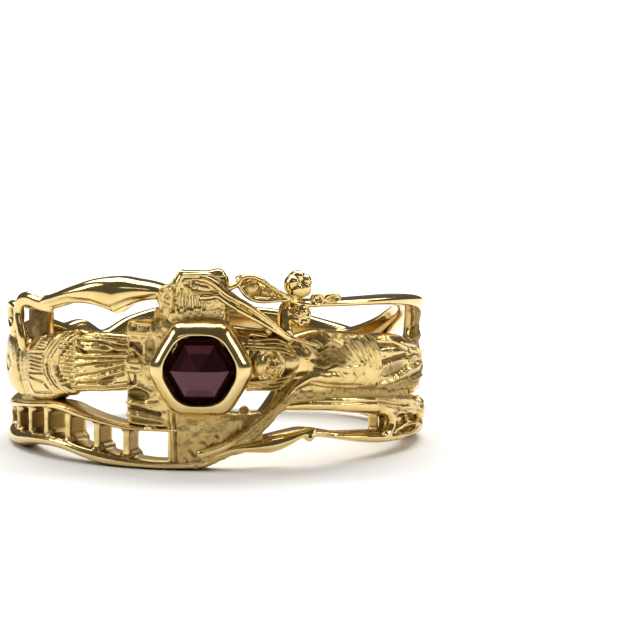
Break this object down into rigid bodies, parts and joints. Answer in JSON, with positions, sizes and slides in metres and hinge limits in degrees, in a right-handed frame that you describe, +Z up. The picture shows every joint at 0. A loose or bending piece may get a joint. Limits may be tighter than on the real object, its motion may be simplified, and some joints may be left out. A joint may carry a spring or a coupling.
{
  "type": "openwork finger ring",
  "caption": "Openwork cast finger ring: straps, a column, a reclining robed figure and a ladder-like rail meet at a hexagonal collet that holds a faceted stone.",
  "frame": {"origin": "on the axis of the finger hole, in the plane that the ring rests on when it lies on its side", "axes": "+Z up along the axis of the finger hole, the collet and its stone face -Y, +X to the right seen from the front"},
  "size_m": [0.022, 0.0235, 0.0102],
  "materials": {
    "gold": "polished high spots, softly rough in the recesses",
    "garnet": "polished facets"
  },
  "bodies": {
    "root": {"ring_body": "gold", "garnet": "garnet"}
  },
  "joints": []
}
